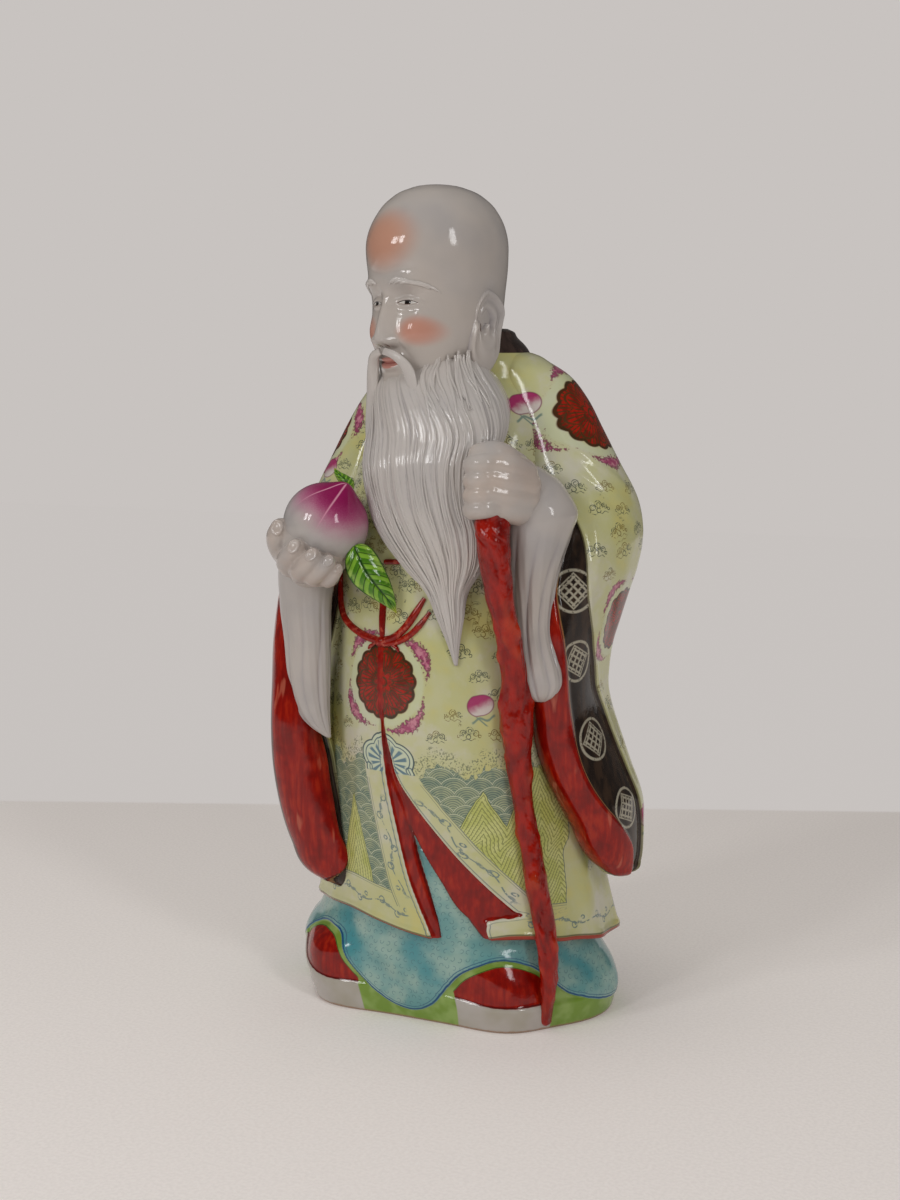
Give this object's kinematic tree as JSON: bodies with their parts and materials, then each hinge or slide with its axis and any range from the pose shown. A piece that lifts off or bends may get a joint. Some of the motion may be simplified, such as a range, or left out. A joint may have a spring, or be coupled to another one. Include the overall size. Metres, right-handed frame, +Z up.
{
  "type": "porcelain shouxing statue",
  "caption": "Standing glazed porcelain figure of the long-life deity: tall bald head, long beard, peach on one hand, knotted staff in the other, on a low base cast with it.",
  "frame": {"origin": "on the ground under the middle of the figure's base, on its flat underside", "axes": "+Z up, -Y the figure's front, +X towards the figure's left hand, which holds the staff"},
  "size_m": [0.2257, 0.188, 0.5001],
  "materials": {
    "glazed_porcelain": "white porcelain under a clear gloss glaze, with painted overglaze enamels in yellow, red, turquoise and green"
  },
  "bodies": {
    "root": {"shouxing_statue": "glazed_porcelain"}
  },
  "joints": []
}
